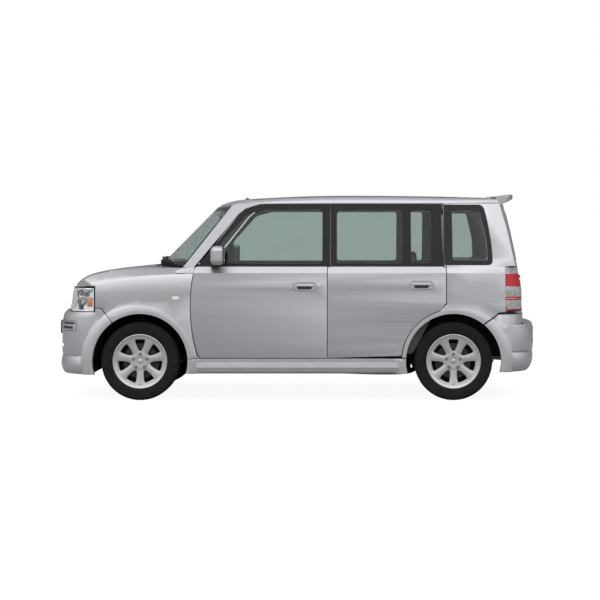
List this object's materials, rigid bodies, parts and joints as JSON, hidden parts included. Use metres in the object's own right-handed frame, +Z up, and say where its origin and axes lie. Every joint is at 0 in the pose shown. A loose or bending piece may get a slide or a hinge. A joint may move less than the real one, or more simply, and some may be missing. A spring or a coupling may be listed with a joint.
{
  "type": "compact car",
  "caption": "Tall, boxy five-door compact car with opening doors, bonnet and tailgate, steering front wheels and a furnished cabin.",
  "frame": {"origin": "on the ground below the middle of the car", "axes": "+X to the front of the car, +Y to its left, +Z up"},
  "size_m": [3.945, 1.936, 1.65],
  "materials": {
    "paint": "silver metallic, clear coated",
    "underbody": "matt dark coating",
    "glass": "grey-green tint",
    "tyre": "matt",
    "rim": "silver lacquer",
    "steel": "dull",
    "iron": "rough",
    "engine": "cast, dull",
    "lens": "clear",
    "red_lens": "red and clear",
    "dark_plastic": "grained",
    "grey_plastic": "grained",
    "fabric": "woven"
  },
  "bodies": {
    "body": {"floor_pan": "underbody", "front_structure": "underbody", "side_frames": "paint", "rear_quarters": "paint", "front_fenders": "paint", "side_skirts": "paint", "front_bumper": "paint", "rear_bumper": "paint", "roof_panel": "paint", "windscreen": "glass", "quarter_glass": "glass", "head_lamp_lenses": "lens", "head_lamp_bowls": "dark_plastic", "radiator_grille": "dark_plastic", "tail_lamp_lenses": "red_lens", "tail_lamp_housings": "dark_plastic", "rear_axle": "iron", "engine_block": "engine", "fuel_tank": "steel", "dashboard": "grey_plastic", "front_seats": "fabric", "rear_seat": "fabric", "wipers": "dark_plastic"},
    "door_front_left": {"door_front_left": "paint", "door_glass_front_left": "glass", "door_mirror_left": "paint"},
    "door_front_right": {"door_front_right": "paint", "door_glass_front_right": "glass", "door_mirror_right": "paint"},
    "door_rear_left": {"door_rear_left": "paint", "door_glass_rear_left": "glass"},
    "door_rear_right": {"door_rear_right": "paint", "door_glass_rear_right": "glass"},
    "bonnet": {"bonnet": "paint"},
    "tailgate": {"tailgate": "paint", "tailgate_glass": "glass"},
    "knuckle_left": {"knuckle_left": "iron"},
    "knuckle_right": {"knuckle_right": "iron"},
    "wheel_front_left": {"tyre_front_left": "tyre", "rim_front_left": "rim"},
    "wheel_front_right": {"tyre_front_right": "tyre", "rim_front_right": "rim"},
    "wheel_rear_left": {"tyre_rear_left": "tyre", "rim_rear_left": "rim"},
    "wheel_rear_right": {"tyre_rear_right": "tyre", "rim_rear_right": "rim"},
    "steering_wheel": {"steering_wheel": "dark_plastic"}
  },
  "joints": [
    {"name": "spin_front_left", "type": "hinge", "parent": "knuckle_left", "child": "wheel_front_left", "pos_m": [1.2375, 0.73, 0.311], "axis": [0, 1, 0], "continuous": true},
    {"name": "spin_front_right", "type": "hinge", "parent": "knuckle_right", "child": "wheel_front_right", "pos_m": [1.2375, -0.73, 0.311], "axis": [0, 1, 0], "continuous": true},
    {"name": "spin_rear_left", "type": "hinge", "parent": "body", "child": "wheel_rear_left", "pos_m": [-1.2625, 0.73, 0.311], "axis": [0, 1, 0], "continuous": true},
    {"name": "spin_rear_right", "type": "hinge", "parent": "body", "child": "wheel_rear_right", "pos_m": [-1.2625, -0.73, 0.311], "axis": [0, 1, 0], "continuous": true},
    {"name": "steer_left", "type": "hinge", "parent": "body", "child": "knuckle_left", "pos_m": [1.2375, 0.61, 0.311], "axis": [0, 0, 1], "range_deg": [-35, 35]},
    {"name": "steer_right", "type": "hinge", "parent": "body", "child": "knuckle_right", "pos_m": [1.2375, -0.61, 0.311], "axis": [0, 0, 1], "range_deg": [-35, 35]},
    {"name": "steering_wheel_turn", "type": "hinge", "parent": "body", "child": "steering_wheel", "pos_m": [0.5, 0.36, 0.88], "axis": [-0.9063, 0, 0.4226], "range_deg": [-525, 525]},
    {"name": "hinge_door_front_left", "type": "hinge", "parent": "body", "child": "door_front_left", "pos_m": [0.76, 0.806, 0.7], "axis": [0, 0, -1], "range_deg": [0, 65]},
    {"name": "hinge_door_front_right", "type": "hinge", "parent": "body", "child": "door_front_right", "pos_m": [0.76, -0.806, 0.7], "axis": [0, 0, 1], "range_deg": [0, 65]},
    {"name": "hinge_door_rear_left", "type": "hinge", "parent": "body", "child": "door_rear_left", "pos_m": [-0.33125, 0.806, 0.7], "axis": [0, 0, -1], "range_deg": [0, 65]},
    {"name": "hinge_door_rear_right", "type": "hinge", "parent": "body", "child": "door_rear_right", "pos_m": [-0.33125, -0.806, 0.7], "axis": [0, 0, 1], "range_deg": [0, 65]},
    {"name": "hinge_bonnet", "type": "hinge", "parent": "body", "child": "bonnet", "pos_m": [0.96, 0, 1.036], "axis": [0, -1, 0], "range_deg": [0, 55]},
    {"name": "hinge_tailgate", "type": "hinge", "parent": "body", "child": "tailgate", "pos_m": [-1.6, 0, 1.631], "axis": [0, 1, 0], "range_deg": [0, 85]}
  ],
  "couplings": [
    {"joint": "steer_right", "follows": "steer_left", "ratio": 1},
    {"joint": "steering_wheel_turn", "follows": "steer_left", "ratio": 15}
  ]
}
